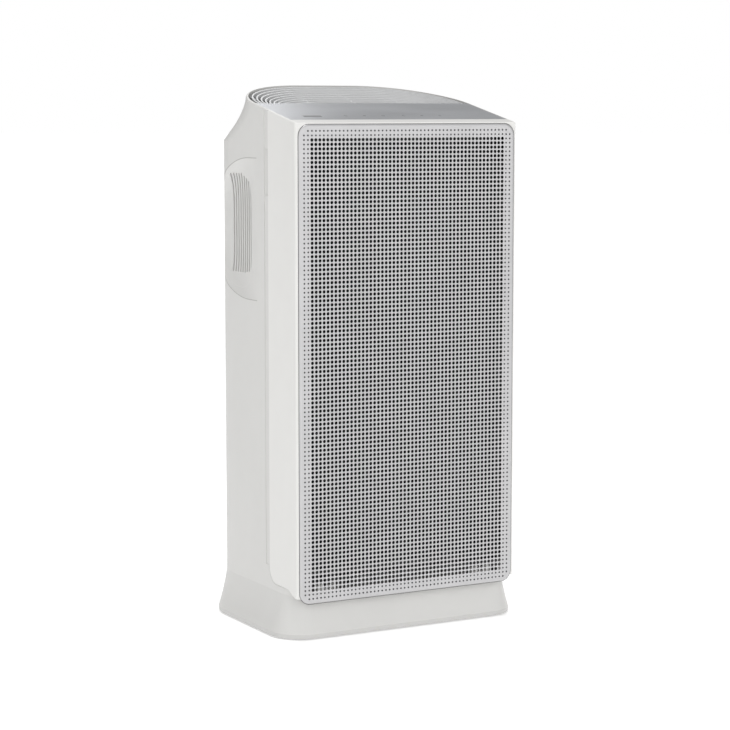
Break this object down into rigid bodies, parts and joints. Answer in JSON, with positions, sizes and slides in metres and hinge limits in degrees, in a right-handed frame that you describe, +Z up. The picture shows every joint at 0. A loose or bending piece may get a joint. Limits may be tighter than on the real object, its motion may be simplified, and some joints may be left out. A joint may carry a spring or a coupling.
{
  "type": "air purifier",
  "caption": "Tall floor-standing air purifier with a perforated front that tilts open, pleated filter, centrifugal fan, a finned top outlet and louvred outlets on both sides.",
  "frame": {"origin": "middle of the object's box, on the floor under its feet", "axes": "+Z up, the perforated front faces -Y, +X to the right seen from the front"},
  "size_m": [0.392, 0.293, 0.7833],
  "materials": {
    "body_white": "satin moulded plastic",
    "base_white": "satin moulded plastic",
    "grille_silver": "satin, perforated",
    "deck_silver": "satin metallic lacquer",
    "outlet_silver": "satin",
    "inner_black": "matt",
    "inner_white": "matt",
    "foam_black": "open carbon core",
    "filter_paper": "pleated paper",
    "pull_tape": "woven tape",
    "rubber": "matt",
    "steel": "zinc plated",
    "motor_steel": "painted",
    "board": "lacquered circuit board",
    "socket_black": "matt"
  },
  "bodies": {
    "body": {"base_pan": "base_white", "base_screws": "steel", "rubber_feet": "rubber", "rear_housing": "body_white", "side_louvre_right": "body_white", "side_louvre_left": "body_white", "catch_plates": "steel", "top_deck": "deck_silver", "display_carrier": "inner_black", "display_board": "board", "top_outlet_grille": "outlet_silver", "filter_bay": "inner_black", "bay_screws": "steel", "pre_filter_frame": "inner_black", "pre_filter_mesh": "foam_black", "carbon_filter": "foam_black", "hepa_frame": "inner_white", "hepa_pleats": "filter_paper", "filter_pull_tabs": "pull_tape", "divider_panel": "inner_black", "divider_screws": "steel", "inlet_ring": "inner_black", "finger_guard": "inner_black", "scroll_wall": "inner_black", "scroll_back_plate": "inner_black", "motor_front_cap": "motor_steel", "motor_rear_cup": "motor_steel", "motor_bearings": "steel", "motor_stator": "steel", "motor_grommets": "rubber", "motor_screws": "steel", "control_box": "inner_black", "power_board": "board", "power_inlet": "socket_black", "sensor_module": "inner_black", "interlock_switch": "inner_black"},
    "cover": {"front_cover": "body_white", "cover_pivot_pins": "steel", "front_grille": "grille_silver", "cover_magnets": "steel"},
    "fan": {"impeller": "inner_white", "impeller_nut": "steel", "motor_shaft": "steel", "motor_rotor": "motor_steel"},
    "sensor_hatch": {"sensor_door": "body_white"}
  },
  "joints": [
    {"name": "cover_tilt", "type": "hinge", "parent": "body", "child": "cover", "pos_m": [0, -0.1245, 0.068], "axis": [1, 0, 0], "range_deg": [0, 20]},
    {"name": "fan_spin", "type": "hinge", "parent": "body", "child": "fan", "pos_m": [0, 0.0595, 0.334], "axis": [0, 1, 0], "continuous": true},
    {"name": "sensor_hatch_swing", "type": "hinge", "parent": "body", "child": "sensor_hatch", "pos_m": [0.1783, -0.0245, 0.149], "axis": [0, 0, -1], "range_deg": [0, 90]}
  ]
}
